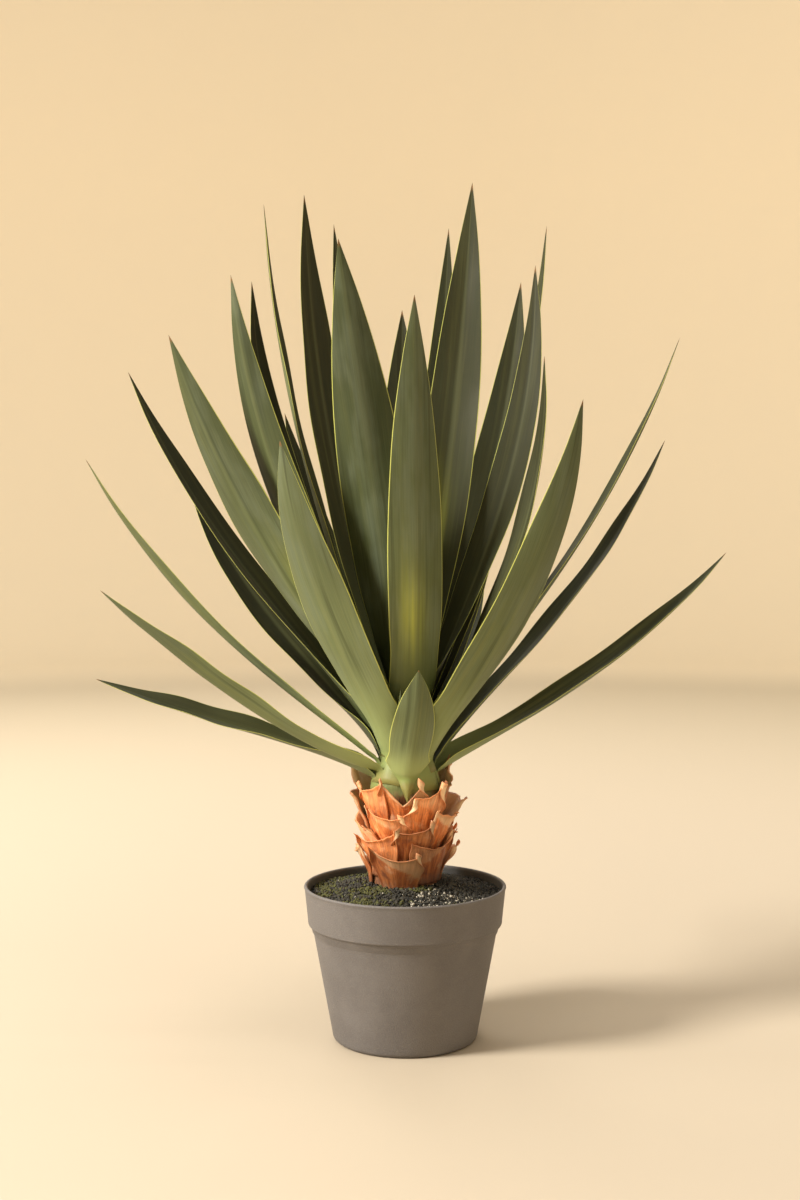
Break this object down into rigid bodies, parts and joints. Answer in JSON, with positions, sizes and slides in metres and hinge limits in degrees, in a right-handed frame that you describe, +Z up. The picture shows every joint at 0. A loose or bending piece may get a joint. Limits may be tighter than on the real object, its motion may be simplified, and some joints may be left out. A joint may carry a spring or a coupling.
{
  "type": "potted agave",
  "caption": "Sword-leaved agave rosette on a short stem clad in dried leaf bases, standing in soil in a round tapered pot with a rim band.",
  "frame": {"origin": "centre of the pot's flat underside", "axes": "+Z up along the pot's axis, -Y towards the front of the plant, +X to the right seen from the front"},
  "size_m": [0.4707, 0.3534, 0.641],
  "materials": {
    "pot": "matt taupe-grey moulded plastic with a fine grain",
    "soil": "dark crumbly potting soil",
    "stem": "brown fibrous stem",
    "husk": "dry orange-brown fibrous leaf bases",
    "leaf": "satin grey-green leaf with a thin yellow-green edge"
  },
  "bodies": {
    "root": {"pot": "pot", "soil": "soil", "stem": "stem", "husk_01": "husk", "husk_02": "husk", "husk_03": "husk", "husk_04": "husk", "husk_05": "husk", "husk_06": "husk", "husk_07": "husk", "husk_08": "husk", "husk_09": "husk", "husk_10": "husk", "husk_11": "husk", "husk_12": "husk", "husk_13": "husk", "husk_14": "husk", "husk_15": "husk", "husk_16": "husk", "husk_17": "husk", "husk_18": "husk", "husk_19": "husk", "husk_20": "husk", "husk_21": "husk", "husk_22": "husk", "husk_23": "husk", "leaf_01": "leaf", "leaf_02": "leaf", "leaf_03": "leaf", "leaf_04": "leaf", "leaf_05": "leaf", "leaf_06": "leaf", "leaf_07": "leaf", "leaf_08": "leaf", "leaf_09": "leaf", "leaf_10": "leaf", "leaf_11": "leaf", "leaf_12": "leaf", "leaf_13": "leaf", "leaf_14": "leaf", "leaf_15": "leaf", "leaf_16": "leaf", "leaf_17": "leaf", "leaf_18": "leaf", "leaf_19": "leaf", "leaf_20": "leaf", "leaf_21": "leaf", "leaf_22": "leaf", "leaf_23": "leaf", "leaf_24": "leaf", "leaf_25": "leaf", "leaf_26": "leaf", "leaf_27": "leaf", "leaf_28": "leaf", "leaf_29": "leaf", "leaf_30": "leaf", "leaf_31": "leaf", "leaf_32": "leaf", "leaf_33": "leaf", "leaf_34": "leaf"}
  },
  "joints": []
}
